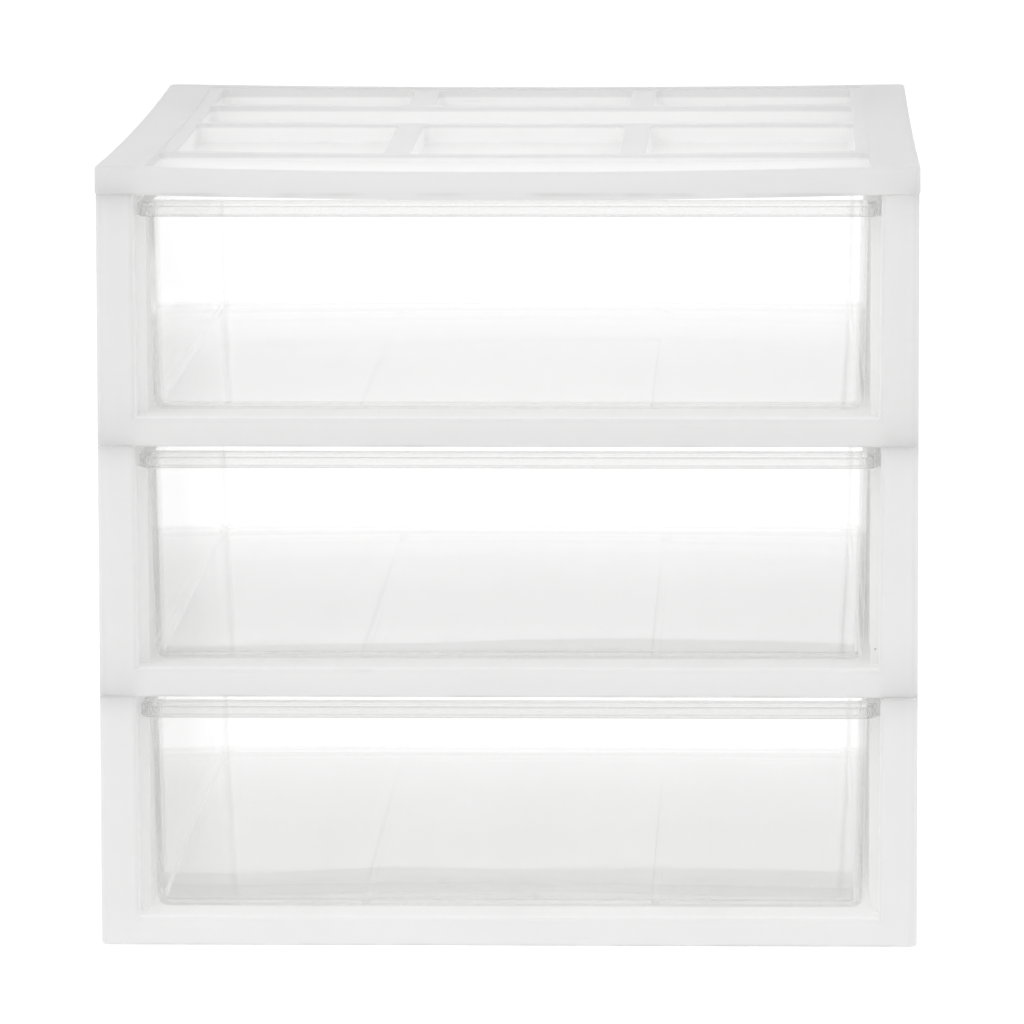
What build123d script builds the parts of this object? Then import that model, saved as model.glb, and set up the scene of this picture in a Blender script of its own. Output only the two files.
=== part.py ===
from build123d import *
from math import cos, radians, sin, tan
import os

# A desktop drawer organiser: three stacked tier frames, a drawer in each, and a lid with compartments.
# Millimetres. +Z is up, the drawers open towards -Y, and the origin is at the middle of the base.

# Overall
width = 260.0
depth = 340.0
tier_height = 80.0
tier_names = ("bottom", "middle", "top")
corner_radius = 3.0
seam_chamfer = 0.4

# Tier frame: a deck with a skirt, side walls, hollow corner posts and a guide along each side
side_wall = 2.2
skirt_wall = 2.2
deck_thickness = 2.0
rail_height = 9.2
post_width = 12.4
post_depth = 14.0
post_face = 2.4
post_draft = 0.7
post_cap = 2.0
jamb_wall = 2.0
opening_round = 1.9
tie_bar_height = 14.0
tie_bar_wall = 2.4
guide_setback = 12.0
guide_wall = 2.0
guide_nose = 2.4
guide_reach = 2.7
guide_drop = 7.7
guide_round = 1.5
web_wall = 1.6
web_height = 48.0
web_spacing = 55.0
web_count = 5
deck_rib_wall = 1.6
deck_rib_spacing_x = 64.0
deck_rib_spacing_y = 85.0
deck_rib_count = 3

# Corner pegs that key each level into the one above
peg_width = 4.4
peg_depth = 7.0
peg_height = 5.0
peg_chamfer = 0.8
peg_inset_y = 7.0
peg_clearance = 0.25
socket_wall = 1.6
socket_lift = 0.3

# Drawer: a drafted tub with a turned-down rim, which is also its pull
running_clearance = 0.3
rim_below_tier_top = 2.5
rim_front_setback = 4.5
rim_side_clearance = 0.4
rim_wall = 1.8
rim_corner = 5.0
rim_chamfer = 0.9
pull_overhang = 4.8
rear_overhang = 2.0
tub_wall = 1.8
tub_floor = 1.8
tub_draft = 1.2
tub_side_clearance = 0.7
tub_corner = 3.4
tub_base_round = 3.0
tub_inner_round = 1.8
tub_round_steps = 3
floor_crown = 2.0
floor_edge_lift = 0.2
runner_height = 0.8
runner_width = 2.6
runner_offset = 46.5
runner_end_inset = 14.0

# Lid: a sagging top with compartments sunk into it, and a front lip that bows down
lid_height = 9.5
lid_overhang = 0.3
lid_skirt = 2.4
lid_top_wall = 2.0
lid_front_sag = 2.4
lid_side_sag = 2.0
lid_middle_sag = 1.1
lid_rear_sag = 1.2
lid_lip_bow = 1.7
lid_edge_round = 1.0
panel_recess = 0.4
panel_margin = 3.6
front_wall = 3.0
bar_width = 8.0
channel_half_width = 115.0
tray_half_width = 111.0
front_channel_depth = 71.5
front_channel_sink = 2.6
front_row_depth = 113.0
middle_channel_depth = 61.5
rear_ledge = 11.1
pocket_count_in_row = 3
pocket_floor_height = 0.2
pocket_wall = 1.6
pocket_draft = 3.0
pocket_corner = 3.5
pocket_base_round = 1.5
pocket_round_steps = 2

# Places worked out from the sizes above
half_width = width / 2
half_depth = depth / 2
side_inner = half_width - side_wall
jamb = half_width - post_width
guide_inner = jamb - guide_reach
guide_top = tier_height - guide_drop
post_inner_y = half_depth - post_depth
front_inner_y = half_depth - post_face
deck_bottom = rail_height - deck_thickness
peg_x = (side_inner + jamb + jamb_wall) / 2
peg_y = half_depth - peg_inset_y
rim_top = tier_height - rim_below_tier_top
rim_bottom = guide_top + running_clearance
rim_half_width = jamb - rim_side_clearance
rim_front = -half_depth + rim_front_setback
rim_rear = half_depth - tie_bar_wall - running_clearance
tub_half_width = guide_inner - tub_side_clearance
tub_front = rim_front + pull_overhang
tub_rear = rim_rear - rear_overhang
tub_bottom = rail_height + running_clearance + runner_height
lid_depth = depth + 2 * lid_overhang
rows_ahead = front_channel_depth + front_row_depth + middle_channel_depth + 3 * bar_width
back_row_depth = lid_depth - front_wall - rows_ahead - rear_ledge
overshoot = 5.0


def span(x_limits, y_limits, z_limits):
    """A box given by its low and high limit along each axis."""
    limits = (x_limits, y_limits, z_limits)
    size = [high - low for low, high in limits]
    middle = [(high + low) / 2 for low, high in limits]
    return Pos(*middle) * Box(*size)


def on_both_sides(solid):
    """The solid and its mirror image left of the middle plane."""
    return solid + mirror(solid, about=Plane.YZ)


def at_four_corners(solid):
    """The solid and its copies mirrored to the other three corners."""
    right = solid + mirror(solid, about=Plane.XZ)
    return on_both_sides(right)


def evenly(count, spacing):
    """Places spaced evenly about zero."""
    return [(index - (count - 1) / 2) * spacing for index in range(count)]


def plan(x_limits, y_limits, radius):
    """A rounded rectangle on the ground plane between two limits each way."""
    x_low, x_high = x_limits
    y_low, y_high = y_limits
    middle = Pos((x_low + x_high) / 2, (y_low + y_high) / 2)
    return middle * RectangleRounded(x_high - x_low, y_high - y_low, radius)


def raised(sketch, low, high):
    """The sketch as a solid between two heights."""
    return extrude(Pos(0, 0, low) * sketch, high - low)


def inset(limits, amount):
    """Limits drawn in by an amount at both ends."""
    low, high = limits
    return (low + amount, high - amount)


def moulded_tub(x_limits, y_limits, radius, z_limits, draft, base_round, round_steps):
    """A rounded block that narrows downwards by its draft and rolls under at its base edge."""
    bottom, top = z_limits
    slope = tan(radians(draft))
    stations = [(top, 0)]
    for step in range(round_steps + 1):
        angle = radians(90 * step / round_steps)
        z = bottom + base_round * (1 - sin(angle))
        drawn_in = (top - bottom - base_round) * slope + base_round * (1 - cos(angle))
        stations.append((z, drawn_in))
    sections = []
    for z, drawn_in in stations:
        section = plan(inset(x_limits, drawn_in), inset(y_limits, drawn_in), radius)
        sections.append(Pos(0, 0, z) * section)
    return loft(sections, ruled=True)


def drawer_bay():
    """The space between the posts, drafted so that it opens out upwards."""
    low = jamb
    high = jamb + post_draft
    profile = Plane.XZ * Polygon(
        (-low, rail_height), (low, rail_height), (high, tier_height), (-high, tier_height), align=None
    )
    return extrude(profile, half_depth + overshoot, both=True)


def guides():
    """The side guides: long walls whose front and rear noses step out to the posts."""
    end = half_depth - guide_setback
    nose = end - guide_nose
    outer = jamb + jamb_wall / 2
    wall_outer = guide_inner + guide_wall
    section = Polygon(
        (guide_inner, -end), (outer, -end), (outer, -nose), (wall_outer, -nose),
        (wall_outer, nose), (outer, nose), (outer, end), (guide_inner, end), align=None
    )
    guide = raised(section, rail_height - deck_thickness / 2, guide_top)
    top_inner_edge = guide.edges().filter_by(Axis.Y).group_by(Axis.Z)[-1].sort_by(Axis.X)[0]
    return on_both_sides(fillet(top_inner_edge, guide_round))


def side_webs():
    """Short walls that tie each guide to the side wall."""
    webs = Part()
    for y in evenly(web_count, web_spacing):
        webs += span(
            (guide_inner + guide_wall / 2, side_inner + side_wall / 2),
            (y - web_wall / 2, y + web_wall / 2),
            (rail_height - deck_thickness / 2, rail_height + web_height),
        )
    return on_both_sides(webs)


def deck_ribs():
    """The grid of stiffening ribs under a deck."""
    top = rail_height - deck_thickness / 2
    ribs = Part()
    for x in evenly(deck_rib_count, deck_rib_spacing_x):
        ribs += span(
            (x - deck_rib_wall / 2, x + deck_rib_wall / 2),
            (-half_depth + skirt_wall / 2, half_depth - skirt_wall / 2),
            (0, top),
        )
    for y in evenly(deck_rib_count, deck_rib_spacing_y):
        ribs += span(
            (-half_width + skirt_wall / 2, half_width - skirt_wall / 2),
            (y - deck_rib_wall / 2, y + deck_rib_wall / 2),
            (0, top),
        )
    return ribs


def sockets(ceiling):
    """Blocks in the corners of a hollow underside, each with a hole that takes a peg."""
    wall = socket_wall + peg_clearance
    block = span(
        (peg_x - peg_width / 2 - wall, side_inner + skirt_wall / 2),
        (-half_depth + skirt_wall / 2, -peg_y + peg_depth / 2 + wall),
        (socket_lift, ceiling + deck_thickness / 2),
    )
    hole = span(
        (peg_x - peg_width / 2 - peg_clearance, peg_x + peg_width / 2 + peg_clearance),
        (-peg_y - peg_depth / 2 - peg_clearance, -peg_y + peg_depth / 2 + peg_clearance),
        (0, ceiling),
    )
    return at_four_corners(block - hole)


def pegs():
    """The four pegs on top of the posts."""
    peg = Pos(peg_x, -peg_y, tier_height + peg_height / 2) * Box(peg_width, peg_depth, peg_height)
    peg = chamfer(peg.faces().sort_by(Axis.Z)[-1].edges(), peg_chamfer)
    root = Pos(peg_x, -peg_y, tier_height - post_cap / 4) * Box(peg_width, peg_depth, post_cap / 2)
    return at_four_corners(peg + root)


def tier_frame():
    """One tier: everything of the frame that carries one drawer."""
    frame = extrude(RectangleRounded(width, depth, corner_radius), tier_height)
    rims = frame.faces().sort_by(Axis.Z)
    frame = chamfer(rims[0].edges() + rims[-1].edges(), seam_chamfer)
    frame -= drawer_bay()
    channel = span((jamb - overshoot, side_inner), (-post_inner_y, post_inner_y), (rail_height, tier_height + overshoot))
    frame -= on_both_sides(channel)
    post_hollow = span(
        (jamb + jamb_wall, side_inner), (-front_inner_y, -post_inner_y + overshoot), (rail_height, tier_height - post_cap)
    )
    frame -= at_four_corners(post_hollow)
    underside = plan(
        inset((-half_width, half_width), skirt_wall), inset((-half_depth, half_depth), skirt_wall), corner_radius
    )
    frame -= extrude(underside, deck_bottom)
    opening_edges = (
        frame.faces().sort_by(Axis.Y)[0].edges().filter_by(lambda edge: is_opening_edge(edge))
    )
    frame = fillet(opening_edges, opening_round)
    frame += span(
        (-jamb - jamb_wall / 2, jamb + jamb_wall / 2),
        (half_depth - tie_bar_wall, half_depth),
        (tier_height - tie_bar_height, tier_height - seam_chamfer),
    )
    frame += guides()
    frame += side_webs()
    frame += deck_ribs()
    frame += sockets(deck_bottom)
    frame += pegs()
    return frame


def is_opening_edge(edge):
    """Whether an edge of the front face bounds the drawer's opening."""
    middle = edge.center()
    beside_opening = abs(middle.X) < jamb + post_draft
    return beside_opening and middle.Z > deck_bottom


def under_crown(lift):
    """The space under a drawer floor that bulges upwards, raised above the tub's bottom by a wall."""
    x = tub_half_width
    base = tub_bottom - runner_height - overshoot
    edge_z = tub_bottom + lift
    stations = (
        (tub_front, edge_z + floor_edge_lift),
        ((tub_front + tub_rear) / 2, edge_z + floor_crown),
        (tub_rear, edge_z + floor_edge_lift),
    )
    sections = []
    for place, middle_z in stations:
        outline = ThreePointArc((-x, edge_z), (0, middle_z), (x, edge_z))
        outline += Polyline((x, edge_z), (x, base), (-x, base), (-x, edge_z))
        sections.append(Plane.XZ.offset(-place) * make_face(outline))
    return loft(sections)


def drawer():
    """A clear drawer, placed as it stands in the lowest tier."""
    tub_x = (-tub_half_width, tub_half_width)
    tub_y = (tub_front, tub_rear)
    tub = moulded_tub(
        tub_x, tub_y, tub_corner, (tub_bottom, rim_top), tub_draft, tub_base_round, tub_round_steps
    )
    cavity = moulded_tub(
        inset(tub_x, tub_wall), inset(tub_y, tub_wall), tub_corner - tub_wall / 2,
        (tub_bottom + tub_floor, rim_top), tub_draft, tub_inner_round, tub_round_steps
    )

    rim_x = (-rim_half_width, rim_half_width)
    rim_y = (rim_front, rim_rear)
    rim = raised(plan(rim_x, rim_y, rim_corner), rim_bottom, rim_top)
    rim = chamfer(rim.faces().sort_by(Axis.Z)[-1].edges(), rim_chamfer)
    under_rim = plan(inset(rim_x, rim_wall), inset(rim_y, rim_wall), rim_corner - rim_wall)
    rim -= raised(under_rim, rim_bottom, rim_top - rim_wall)

    body = rim + tub - under_crown(0) - (cavity - under_crown(tub_floor))
    for x in (-runner_offset, runner_offset):
        runner = span(
            (x - runner_width / 2, x + runner_width / 2),
            (tub_front + runner_end_inset, tub_rear - runner_end_inset),
            (tub_bottom - runner_height, tub_bottom + floor_crown + tub_floor),
        )
        body += runner & under_crown(tub_floor / 2)
    return body


def above_lid(lowered_by):
    """The space over the lid's sagging top face, lowered by a wall or a recess."""
    x = half_width + overshoot
    y = half_depth + overshoot
    ceiling = lid_height + overshoot
    stations = (
        (-y, 0, lid_front_sag),
        (0, lid_side_sag, lid_side_sag + lid_middle_sag),
        (y, 0, lid_rear_sag),
    )
    sections = []
    for place, side_sag, middle_sag in stations:
        edge_z = lid_height - side_sag - lowered_by
        middle_z = lid_height - middle_sag - lowered_by
        outline = ThreePointArc((-x, edge_z), (0, middle_z), (x, edge_z))
        outline += Polyline((x, edge_z), (x, ceiling), (-x, ceiling), (-x, edge_z))
        sections.append(Plane.XZ.offset(-place) * make_face(outline))
    return loft(sections)


def compartments():
    """Each compartment of the lid as its half-open box in plan: x limits and y limits."""
    pocket = (2 * tray_half_width - (pocket_count_in_row - 1) * bar_width) / pocket_count_in_row
    columns = []
    for middle in evenly(pocket_count_in_row, pocket + bar_width):
        columns.append((middle - pocket / 2, middle + pocket / 2))
    rows = (
        (front_channel_depth, [(-channel_half_width, channel_half_width)]),
        (front_row_depth, columns),
        (middle_channel_depth, [(-tray_half_width, tray_half_width)]),
        (back_row_depth, columns),
    )
    boxes = []
    y = -half_depth - lid_overhang + front_wall
    for row_depth, row_columns in rows:
        for x_limits in row_columns:
            boxes.append((x_limits, (y, y + row_depth)))
        y += row_depth + bar_width
    return boxes


def lid():
    """The lid, from the top of the frames up."""
    x = half_width + lid_overhang
    y = half_depth + lid_overhang
    outline = plan((-x, x), (-y, y), corner_radius + lid_overhang)
    shell = extrude(outline, lid_height) - above_lid(0)
    shell = fillet(shell.faces().sort_by(Axis.Z)[-1].edges(), lid_edge_round)
    shell = chamfer(shell.faces().sort_by(Axis.Z)[0].edges(), seam_chamfer)

    hollow = plan(inset((-x, x), lid_skirt), inset((-y, y), lid_skirt), corner_radius)
    shell -= extrude(hollow, lid_height) - above_lid(lid_top_wall)

    boxes = compartments()
    front_channel = boxes[0]
    back_pocket = boxes[-1]
    floor = pocket_floor_height
    for box in boxes:
        x_limits, y_limits = box
        tub = span(
            inset(x_limits, -pocket_wall), inset(y_limits, -pocket_wall), (floor - pocket_wall, lid_height)
        )
        if box == front_channel:
            tub &= above_lid(front_channel_sink + pocket_wall)
        shell += tub - above_lid(lid_top_wall / 2)

    panel_front = front_channel[1][0]
    panel_rear = back_pocket[1][1] + panel_margin
    panel_x = (-channel_half_width, channel_half_width)
    panel = extrude(plan(panel_x, (panel_front, panel_rear), pocket_corner), lid_height)
    shell -= panel & above_lid(panel_recess)

    for box in boxes:
        x_limits, y_limits = box
        space = moulded_tub(
            x_limits, y_limits, pocket_corner, (floor, lid_height),
            pocket_draft, pocket_base_round, pocket_round_steps
        )
        if box == front_channel:
            space &= above_lid(front_channel_sink)
        shell -= space

    lip_end = jamb - rim_side_clearance
    bow = ThreePointArc((-lip_end, 0), (0, -lid_lip_bow), (lip_end, 0))
    bow += Polyline((lip_end, 0), (lip_end, lid_skirt), (-lip_end, lid_skirt), (-lip_end, 0))
    lip = extrude(Plane.XZ.offset(y) * make_face(bow), -lid_skirt)
    shell += lip

    shell += sockets(lid_height - lid_top_wall) - above_lid(lid_top_wall / 2)
    return shell


def main():
    os.makedirs("parts", exist_ok=True)
    frame = tier_frame()
    tub = drawer()
    pieces = {}
    for level, name in enumerate(tier_names):
        lift = Pos(0, 0, level * tier_height)
        pieces[name + "_tier_frame"] = lift * frame
        pieces[name + "_drawer"] = lift * tub
    pieces["lid"] = Pos(0, 0, len(tier_names) * tier_height) * lid()
    for name, piece in pieces.items():
        export_step(piece, "parts/" + name + ".step")
        print(name, "solids", len(piece.solids()), "volume", round(piece.volume / 1000, 1), "cm3")


main()
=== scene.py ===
from math import radians

import bpy
from mathutils import Euler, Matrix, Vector


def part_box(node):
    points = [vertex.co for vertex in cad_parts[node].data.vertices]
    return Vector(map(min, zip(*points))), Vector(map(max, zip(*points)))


# A white desktop organiser with three clear drawers, photographed on white.
# Metres and degrees, in the frame of the CAD model.

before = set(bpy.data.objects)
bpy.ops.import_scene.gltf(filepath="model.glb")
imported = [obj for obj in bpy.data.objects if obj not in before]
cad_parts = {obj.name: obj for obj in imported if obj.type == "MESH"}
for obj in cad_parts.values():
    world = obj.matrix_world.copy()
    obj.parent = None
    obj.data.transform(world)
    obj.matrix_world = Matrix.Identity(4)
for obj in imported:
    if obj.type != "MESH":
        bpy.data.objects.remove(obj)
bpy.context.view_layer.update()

# Sizes of the organiser that the finishes follow
tier_low, tier_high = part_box("bottom_tier_frame")
next_tier_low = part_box("middle_tier_frame")[0]
drawer_low, drawer_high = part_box("bottom_drawer")
lid_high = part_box("lid")[1]
half_width = tier_high.x
half_depth = tier_high.y
tier_height = next_tier_low.z - tier_low.z
rim_depth = 0.0049
rim_bottom = drawer_high.z - rim_depth
rim_wall = 0.0018
rim_flange = drawer_high.z - rim_wall
floor_and_runner = 0.0065
floor_top = drawer_low.z + floor_and_runner
ledge_sag = 0.00385
lid_ledge_height = lid_high.z - ledge_sag

# How far a finish takes to change from one height to the next
level_blend = 0.0005
rim_blend = 0.0002

# Edges of the mouldings
edge_softness = 0.0004
edge_segments = 2
sharp_angle = 40
weld_distance = 0.00001

# How much a drawer's crowned floor tilts for each metre from its middle, in radians
floor_tilt_across = 0.35
floor_tilt_along = 0.13

# Camera, fitted to the corners of the photographed front and lid
camera_place = (0.08434, -2.82927, 0.47643)
camera_pitch_down = 7.2216
camera_turn_left = 1.7853
camera_roll = -0.1404
camera_lens = 297.9
camera_sight = 50.0
sensor_width = 36.0

# Studio: the light of the surround near the horizon, overhead, and from the bright wall behind
white = (1.0, 1.0, 1.0)
light_low = 0.80
light_high = 0.785
light_behind = 2.35
lamp_aim = (0.0, 0.0, 0.12)
floor_colour = (0.93, 0.93, 0.93)
floor_seen_colour = (0.30, 0.30, 0.30)
floor_glow = 0.86
floor_reach = 12.0
floor_gap = 0.0004

# Where the surround changes, as the part of a direction that points upwards or backwards
overhead = 0.9
wall_begins = -0.2
wall_full = 0.5
wall_top_begins = 0.15
wall_top_ends = 0.60

# White plastic: painted lighter inside and in the lid's recesses, as painted light standing in for light
# through and between the thin walls; the outer faces and the lid's ledges darker
painted_lit_inside_white = (0.985, 0.985, 0.984)
# Outer white of each moulding, lighter on each tier nearer the floor: painted light from the floor below
outer_white_shaded_by_tier = {"lid": 0.785, "top": 0.805, "middle": 0.845, "bottom": 0.870}
outer_skin = 0.0012
cloudiness = 0.025
cloud_strength = 0.6
scuff_grey = (0.60, 0.60, 0.59)
scuff_strength = 0.22
speck_grey = (0.16, 0.15, 0.14)
speck_strength = 0.8
seam_grey = (0.45, 0.45, 0.44)
seam_strength = 0.45
seam_reach = 0.0010
glow_through = (0.98, 0.98, 0.979)
passes_light = 0.40
plastic_ior = 1.49
plastic_specular = 0.40
plastic_roughness = 0.46
satin_relief = 0.00006

# Clear plastic: its own colour, and the share of haze in each drawer (more in the bottom drawer as painted
# shade), on slanted walls and on the rim
clear_depth_tint = (0.90, 0.90, 0.89)
clear_depth = 4.0
haze_grey = (0.76, 0.76, 0.755)
# The bottom drawer's larger share of haze is painted shade: it greys that drawer as the shaded floor behind
# and below it would
drawer_haze_and_shade = {"bottom": 0.040, "middle": 0.010, "top": 0.006}
smudge_haze = 0.01
slant_haze = 0.26
edge_on_fade = 0.7
rim_haze = 0.08
rim_edge_haze = 0.14
rim_edge_height = 0.0005
flange_haze = 0.06
straight_reflection = 0.04
clear_roughness = 0.03
wave_relief = 0.0002

# How far the marks of each moulding are shifted from those of the one before
seed_step = 0.37


class Varying:
    """A value that varies over a surface: a node's output, on which Python's operators add Math nodes."""

    def __init__(self, finish, socket):
        self.finish = finish
        self.socket = socket

    def maths(self, operation, *values):
        """The result of a Math node on some values."""
        return self.finish.node("ShaderNodeMath", {"operation": operation}, dict(enumerate(values)))

    def __add__(self, other):
        return self.maths("ADD", self, other)

    __radd__ = __add__

    def __sub__(self, other):
        return self.maths("SUBTRACT", self, other)

    def __rsub__(self, other):
        return self.maths("SUBTRACT", other, self)

    def __mul__(self, other):
        return self.maths("MULTIPLY", self, other)

    __rmul__ = __mul__

    def __truediv__(self, other):
        return self.maths("DIVIDE", self, other)

    def __pow__(self, other):
        return self.maths("POWER", self, other)

    def __abs__(self):
        return self.maths("ABSOLUTE", self)

    def larger(self, other):
        """The larger of this value and another."""
        return self.maths("MAXIMUM", self, other)

    def ramp(self, low, high):
        """0 up to the low value, 1 from the high value, and smooth between them."""
        settings = {"interpolation_type": "SMOOTHSTEP"}
        values = {"Value": self, "From Min": low, "From Max": high, "To Min": 0.0, "To Max": 1.0}
        return self.finish.node("ShaderNodeMapRange", settings, values)


class Finish:
    """The nodes of a material or of the world, built one at a time."""

    def __init__(self, owner):
        owner.use_nodes = True
        self.owner = owner
        self.tree = owner.node_tree
        self.tree.nodes.clear()

    def node(self, node_type, settings=None, values=None, output=0):
        """A new node: its settings are set first, then its sockets by value or by link."""
        node = self.tree.nodes.new(node_type)
        for name, setting in (settings or {}).items():
            setattr(node, name, setting)
        for name, value in (values or {}).items():
            socket = node.inputs[name]
            if isinstance(value, Varying):
                self.tree.links.new(value.socket, socket)
            else:
                socket.default_value = value
        return Varying(self, node.outputs[output])

    def vector(self, operation, *values, output=0):
        """The result of a Vector Math node on some vectors."""
        return self.node("ShaderNodeVectorMath", {"operation": operation}, dict(enumerate(values)), output)

    def parts(self, vector):
        """The X, Y and Z of a vector as three values."""
        split = self.node("ShaderNodeSeparateXYZ", values={"Vector": vector})
        return [Varying(self, split.socket.node.outputs[axis]) for axis in "XYZ"]

    def place(self):
        """The point of the surface, in metres, as it is at rest."""
        return self.node("ShaderNodeTexCoord", output="Object")

    def stretched(self, scale, turn=(0.0, 0.0, 0.0)):
        """The point, turned and stretched by a scale along each axis."""
        values = {"Vector": self.place(), "Rotation": turn, "Scale": scale}
        return self.node("ShaderNodeMapping", {"vector_type": "POINT"}, values)

    def noise(self, per_metre, detail=0.0, roughness=0.5, at=None):
        """Smooth noise about 0.5, with a number of features in each metre."""
        place = at or self.place()
        values = {"Vector": place, "Scale": per_metre, "Detail": detail, "Roughness": roughness}
        return self.node("ShaderNodeTexNoise", values=values, output="Fac")

    def cells(self, per_metre, at):
        """The distance from the middle of the nearest of some scattered cells."""
        values = {"Vector": at, "Scale": per_metre}
        return self.node("ShaderNodeTexVoronoi", values=values, output="Distance")

    def mixed(self, factor, first, second):
        """A colour between two colours, each a colour of three numbers or one that varies."""
        sides = []
        for side in (first, second):
            sides.append(side if isinstance(side, Varying) else (*side, 1.0))
        values = {0: factor, 6: sides[0], 7: sides[1]}
        return self.node("ShaderNodeMix", {"data_type": "RGBA", "clamp_factor": True}, values, output=2)

    def surface(self, shader, volume=None):
        """Ends the nodes with a surface shader, and a volume if there is one."""
        is_material = isinstance(self.owner, bpy.types.Material)
        output = self.tree.nodes.new("ShaderNodeOutputMaterial" if is_material else "ShaderNodeOutputWorld")
        self.tree.links.new(shader.socket, output.inputs["Surface"])
        if volume is not None:
            self.tree.links.new(volume.socket, output.inputs["Volume"])
        return self.owner


def relief(finish, height, depth, under=None):
    """The surface's normal with a fine relief of some depth in metres."""
    values = {"Height": height, "Distance": depth}
    if under is not None:
        values["Normal"] = under
    return finish.node("ShaderNodeBump", values=values)


def seen(finish):
    """1 for a ray that the viewer, a gloss or a clear piece sees, and 0 for one that only brings light."""
    path = finish.node("ShaderNodeLightPath", output="Is Camera Ray")
    glossy = Varying(finish, path.socket.node.outputs["Is Glossy Ray"])
    through = Varying(finish, path.socket.node.outputs["Is Transmission Ray"])
    return path.larger(glossy).larger(through)


def white_plastic(name, seed, outer_tone):
    """Satin white moulded plastic with faint flow marks, scuffs and specks, darker along the seams; its
    inside is painted lighter than its outer faces, as painted light.
    """
    finish = Finish(bpy.data.materials.new(name))
    x, y, z = finish.parts(finish.place())
    shifted = finish.vector("ADD", finish.place(), (seed, seed * 0.7, -seed))
    cloud = finish.noise(per_metre=9.0, detail=1.0, at=shifted)
    flow = finish.noise(per_metre=1.0, detail=1.0, at=finish.stretched(scale=(14.0, 14.0, 90.0)))
    grain = finish.noise(per_metre=1500.0)
    orange_peel = finish.noise(per_metre=260.0, at=shifted)

    from_seam = z.maths("PINGPONG", z, tier_height / 2)
    from_middle = abs(x).larger(abs(y) - (half_depth - half_width))
    outside = from_middle.ramp(half_width - outer_skin, half_width - outer_skin / 2)
    # The outer skin and the lid's ledges take the outer white; everything inside and in the recesses takes
    # the painted lighter white
    ledges = z.ramp(lid_ledge_height - level_blend, lid_ledge_height + level_blend)
    outer_faces = outside.larger(ledges)
    # Darker along the seams between tiers, in patches
    seam_darkening = (1 - from_seam.ramp(seam_reach / 5, seam_reach)) * outside
    seam_darkening = seam_darkening * finish.noise(per_metre=60.0, detail=1.0).ramp(0.35, 0.75)

    scuff_place = finish.stretched(scale=(40.0, 40.0, 420.0), turn=(0.0, radians(38), radians(17)))
    scuffs = finish.noise(per_metre=1.0, detail=2.0, roughness=0.6, at=scuff_place).ramp(0.66, 0.78)
    scuffs = scuffs * finish.noise(per_metre=11.0, at=shifted).ramp(0.54, 0.68)
    specks = 1 - finish.cells(per_metre=75.0, at=shifted).ramp(0.02, 0.045)
    specks = specks * finish.noise(per_metre=75.0, at=shifted).ramp(0.66, 0.72)

    shade = outer_tone - cloudiness
    clouded = (cloud + flow).ramp(0.76, 1.32) * cloud_strength
    clouded_outer_colour = finish.mixed(clouded, [outer_tone] * 3, [shade] * 3)
    # Painted light inside and in the recesses, painted shade by tier on the outer faces
    colour = finish.mixed(outer_faces, painted_lit_inside_white, clouded_outer_colour)
    colour = finish.mixed(scuffs * scuff_strength, colour, scuff_grey)
    colour = finish.mixed(seam_darkening * seam_strength, colour, seam_grey)
    colour = finish.mixed(specks * speck_strength, colour, speck_grey)

    solid = finish.node(
        "ShaderNodeBsdfPrincipled",
        values={
            "Base Color": colour,
            "Roughness": plastic_roughness + cloud * 0.06 + scuffs * 0.18 + grain * 0.04,
            "Normal": relief(finish, grain * 0.10 + orange_peel * 0.55, satin_relief),
            "IOR": plastic_ior,
            "Specular IOR Level": plastic_specular,
        },
    )
    through = finish.node("ShaderNodeBsdfTranslucent", values={"Color": (*glow_through, 1.0)})
    shader = finish.node("ShaderNodeMixShader", values={0: passes_light, 1: solid, 2: through})
    return finish.surface(shader)


def crowned_floor(finish, x, y, floor):
    """The surface's normal, which follows the smooth crown of a drawer's floor and not the mesh's facets."""
    facet = finish.node("ShaderNodeNewGeometry", output="Normal")
    tilt = {"X": x * floor_tilt_across, "Y": y * floor_tilt_along, "Z": 1.0}
    crown = finish.vector("NORMALIZE", finish.node("ShaderNodeCombineXYZ", values=tilt))
    side = finish.vector("DOT_PRODUCT", crown, facet, output="Value")
    scaled = {0: crown, "Scale": side.maths("SIGN", side)}
    crown = finish.node("ShaderNodeVectorMath", {"operation": "SCALE"}, scaled)
    return finish.node("ShaderNodeMix", {"data_type": "VECTOR"}, {0: floor, 4: facet, 5: crown}, output=1)


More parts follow.
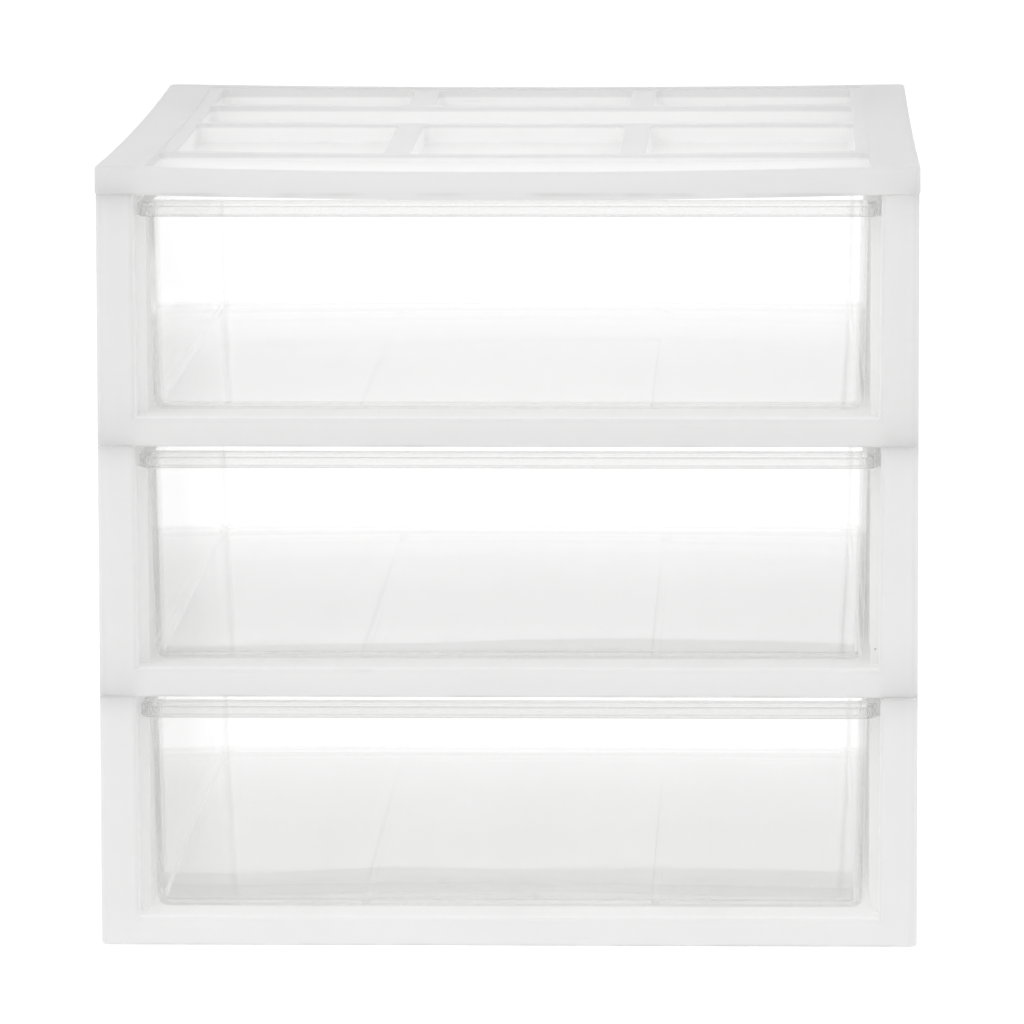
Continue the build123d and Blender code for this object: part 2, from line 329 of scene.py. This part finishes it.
def clear_plastic(name, seed, haze_and_shade):
    """Clear glossy moulded plastic, wavy where it cooled unevenly, with fine scratches and smudges."""
    finish = Finish(bpy.data.materials.new(name))
    x, y, z = finish.parts(finish.place())
    shifted = finish.vector("ADD", finish.place(), (seed, -seed * 0.6, seed * 0.4))
    waves = finish.noise(per_metre=16.0, at=shifted)
    smudges = finish.noise(per_metre=28.0, detail=2.0, roughness=0.6, at=shifted).ramp(0.55, 0.80)
    scratch_place = finish.stretched(scale=(30.0, 900.0, 500.0), turn=(radians(8), 0.0, radians(24)))
    scratches = finish.noise(per_metre=1.0, at=scratch_place).ramp(0.72, 0.80) * smudges

    height = z.maths("FRACT", z / tier_height) * tier_height
    rim = height.ramp(rim_bottom - rim_blend, rim_bottom)
    rim_edge_top = rim_bottom + rim_edge_height
    rim_edge = rim * (1 - height.ramp(rim_edge_top - rim_blend, rim_edge_top))
    flange = height.ramp(rim_flange - level_blend, rim_flange)
    facing_up = abs(finish.parts(finish.node("ShaderNodeNewGeometry", output="Normal"))[2])
    floor = (1 - height.ramp(floor_top, floor_top + level_blend)) * facing_up.ramp(0.90, 0.95)
    smooth = crowned_floor(finish, x, y, floor)
    normal = relief(finish, waves * (1 - rim), wave_relief, under=smooth)

    gloss = finish.node(
        "ShaderNodeBsdfAnisotropic",
        values={
            "Color": (*white, 1.0),
            "Roughness": clear_roughness + smudges * 0.05 + scratches * 0.20 + rim * 0.20,
            "Normal": normal,
        },
    )
    through = finish.node("ShaderNodeBsdfTransparent", values={"Color": (*white, 1.0)})
    hazy = finish.node("ShaderNodeBsdfTranslucent", values={"Color": (*haze_grey, 1.0)})
    facing = {"Blend": 0.5, "Normal": normal}
    edge_on = finish.node("ShaderNodeLayerWeight", values=facing, output="Facing")
    looked_at = seen(finish)
    slant = edge_on.ramp(0.05, 0.45) * (1 - edge_on.ramp(0.75, 0.95) * edge_on_fade) * (1 - floor)
    # Each drawer's haze, which in the bottom drawer includes painted shade
    haze = haze_and_shade + smudges * smudge_haze + slant * slant_haze
    haze = haze + rim * rim_haze + rim_edge * rim_edge_haze + flange * flange_haze
    mirrored = straight_reflection + edge_on ** 5.0 * (1 - straight_reflection)
    inside = finish.node("ShaderNodeMixShader", values={0: haze * looked_at, 1: through, 2: hazy})
    shader = finish.node("ShaderNodeMixShader", values={0: mirrored * looked_at, 1: inside, 2: gloss})
    tint = {"Color": (*clear_depth_tint, 1.0), "Density": clear_depth}
    return finish.surface(shader, finish.node("ShaderNodeVolumeAbsorption", values=tint))


def soften_edges(piece):
    """Rounds the sharp edges of a moulding a little, so that they catch the light."""
    weld = piece.modifiers.new("joined", "WELD")
    weld.merge_threshold = weld_distance
    bevel = piece.modifiers.new("edges", "BEVEL")
    bevel.width = edge_softness
    bevel.segments = edge_segments
    bevel.limit_method = "ANGLE"
    bevel.angle_limit = radians(sharp_angle)
    bevel.harden_normals = True


def dress(name, piece, seed):
    """Gives a moulding its finish and its soft edges."""
    level = name.split("_")[0]
    if name.endswith("_drawer"):
        material = clear_plastic(name + "_clear", seed, drawer_haze_and_shade[level])
    else:
        material = white_plastic(name + "_white", seed, outer_white_shaded_by_tier[level])
    piece.data.materials.clear()
    piece.data.materials.append(material)
    soften_edges(piece)


def studio_floor():
    """A white floor that keeps the organiser's shadow."""
    finish = Finish(bpy.data.materials.new("studio_floor"))
    plain = finish.node("ShaderNodeBsdfDiffuse", values={"Color": (*floor_colour, 1.0)})
    pale = finish.node("ShaderNodeBsdfDiffuse", values={"Color": (*floor_seen_colour, 1.0)})
    glow = finish.node("ShaderNodeEmission", values={"Color": (*white, 1.0), "Strength": floor_glow})
    bright = finish.node("ShaderNodeAddShader", values={0: pale, 1: glow})
    shader = finish.node("ShaderNodeMixShader", values={0: seen(finish), 1: plain, 2: bright})

    mesh = bpy.data.meshes.new("floor")
    reach = floor_reach
    corners = [(-reach, -reach, 0), (reach, -reach, 0), (reach, reach, 0), (-reach, reach, 0)]
    mesh.from_pydata(corners, [], [(0, 1, 2, 3)])
    mesh.materials.append(finish.surface(shader))
    floor = bpy.data.objects.new("floor", mesh)
    floor.location.z = -floor_gap
    bpy.context.scene.collection.objects.link(floor)


def surround():
    """A white surround, whose light is plain in front and strong from a low wall behind."""
    world = bpy.data.worlds.new("studio")
    bpy.context.scene.world = world
    finish = Finish(world)
    back, up = finish.parts(finish.node("ShaderNodeTexCoord", output="Generated"))[1:]
    light = light_low + up.ramp(0.0, overhead) * (light_high - light_low)
    wall = back.ramp(wall_begins, wall_full) * (1 - up.ramp(wall_top_begins, wall_top_ends))
    light = light + wall * (light_behind - light)
    strength = light + seen(finish) * (1 - light)
    glow = {"Color": (*white, 1.0), "Strength": strength}
    finish.surface(finish.node("ShaderNodeBackground", values=glow))


def softbox(name, place, width, height, watts):
    """A large soft lamp that faces the organiser."""
    data = bpy.data.lights.new(name, "AREA")
    data.shape = "RECTANGLE"
    data.size = width
    data.size_y = height
    data.energy = watts
    lamp = bpy.data.objects.new(name, data)
    lamp.location = place
    aim = Vector(lamp_aim) - Vector(place)
    lamp.rotation_euler = aim.to_track_quat("-Z", "Y").to_euler()
    bpy.context.scene.collection.objects.link(lamp)


def camera():
    """The camera of the photograph."""
    data = bpy.data.cameras.new("camera")
    data.lens = camera_lens
    data.sensor_width = sensor_width
    data.clip_end = camera_sight
    eye = bpy.data.objects.new("camera", data)
    eye.location = camera_place
    eye.rotation_mode = "XYZ"
    level = Euler((radians(90 - camera_pitch_down), 0.0, radians(camera_turn_left)), "XYZ").to_matrix()
    rolled = level @ Euler((0.0, 0.0, radians(camera_roll)), "XYZ").to_matrix()
    eye.rotation_euler = rolled.to_euler("XYZ")
    bpy.context.scene.collection.objects.link(eye)
    bpy.context.scene.camera = eye


for number, (name, piece) in enumerate(sorted(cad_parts.items())):
    dress(name, piece, seed=number * seed_step)
studio_floor()
surround()
softbox("key", place=(-0.9, -1.4, 1.5), width=1.4, height=1.2, watts=7.8)
softbox("fill", place=(1.1, -1.4, 1.3), width=1.2, height=1.0, watts=3.3)
camera()

scene = bpy.context.scene
scene.view_settings.view_transform = "Standard"
scene.cycles.max_bounces = 32
scene.cycles.diffuse_bounces = 16
scene.cycles.glossy_bounces = 5
scene.cycles.transmission_bounces = 12
scene.cycles.transparent_max_bounces = 32
